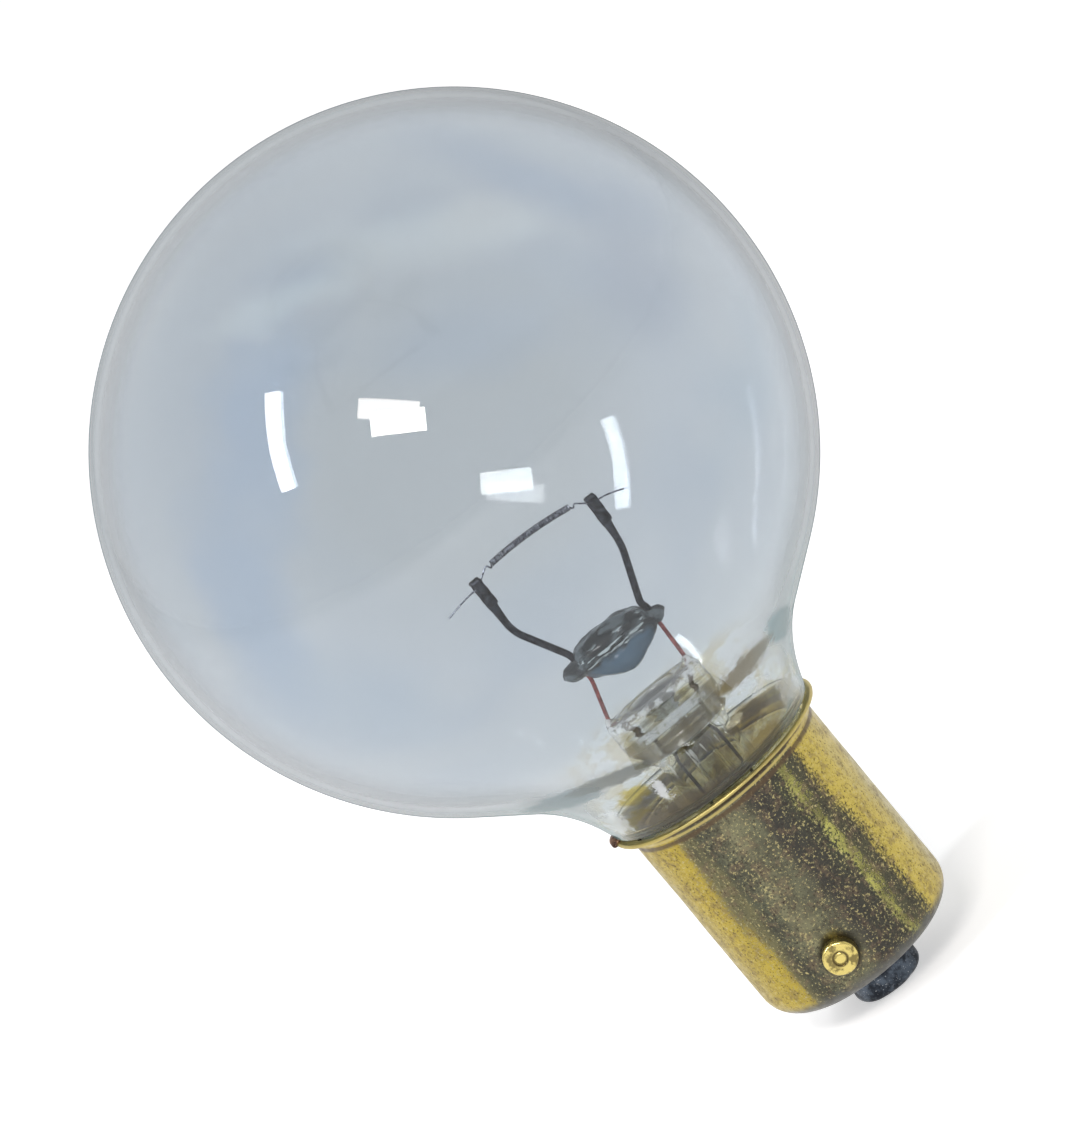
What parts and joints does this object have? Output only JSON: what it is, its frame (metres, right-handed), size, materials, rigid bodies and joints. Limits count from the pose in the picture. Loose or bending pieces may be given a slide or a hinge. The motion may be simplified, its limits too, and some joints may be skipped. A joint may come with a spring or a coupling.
{
  "type": "miniature incandescent bulb",
  "caption": "Clear globe filament lamp with a single-contact brass bayonet cap, bead-mounted filament and soldered end contact.",
  "frame": {"origin": "on the lamp's axis, in the plane of the two bayonet pins, where a holder takes hold of the cap", "axes": "+Z along the lamp's axis, from the cap towards the globe; the bayonet pins point along +Y and -Y; the filament's plane is turned 12 degrees about Z from X"},
  "size_m": [0.0494, 0.0494, 0.0735],
  "materials": {
    "clear_glass": "clear blown glass with a faint blue-green cast",
    "stem_glass": "clear glass, thick and wavy",
    "bead_glass": "dark blue-grey glass, glossy",
    "nickel_post": "dull dark nickel wire",
    "copper_clad_wire": "red oxidised copper",
    "tungsten": "drawn tungsten wire",
    "dark_lead_wire": "dark drawn wire",
    "tarnished_brass": "aged brass with dark olive tarnish and fine specks",
    "bright_brass": "worn bright brass",
    "black_glass": "black fused glass",
    "lead_solder": "dull grey solder, pitted",
    "cement": "matte tan basing cement",
    "rim_solder": "reddish flux-stained solder"
  },
  "bodies": {
    "root": {"glass_envelope": "clear_glass", "stem_flare": "stem_glass", "exhaust_tube": "stem_glass", "glass_bead": "bead_glass", "support_post_left": "nickel_post", "support_post_right": "nickel_post", "dumet_lead_left": "copper_clad_wire", "dumet_lead_right": "copper_clad_wire", "filament": "tungsten", "shell_lead": "dark_lead_wire", "contact_lead": "dark_lead_wire", "base_shell": "tarnished_brass", "bayonet_pin_front": "bright_brass", "bayonet_pin_rear": "bright_brass", "insulator": "black_glass", "contact_eyelet": "bright_brass", "contact_solder": "lead_solder", "basing_cement": "cement", "shell_solder": "rim_solder"}
  },
  "joints": []
}
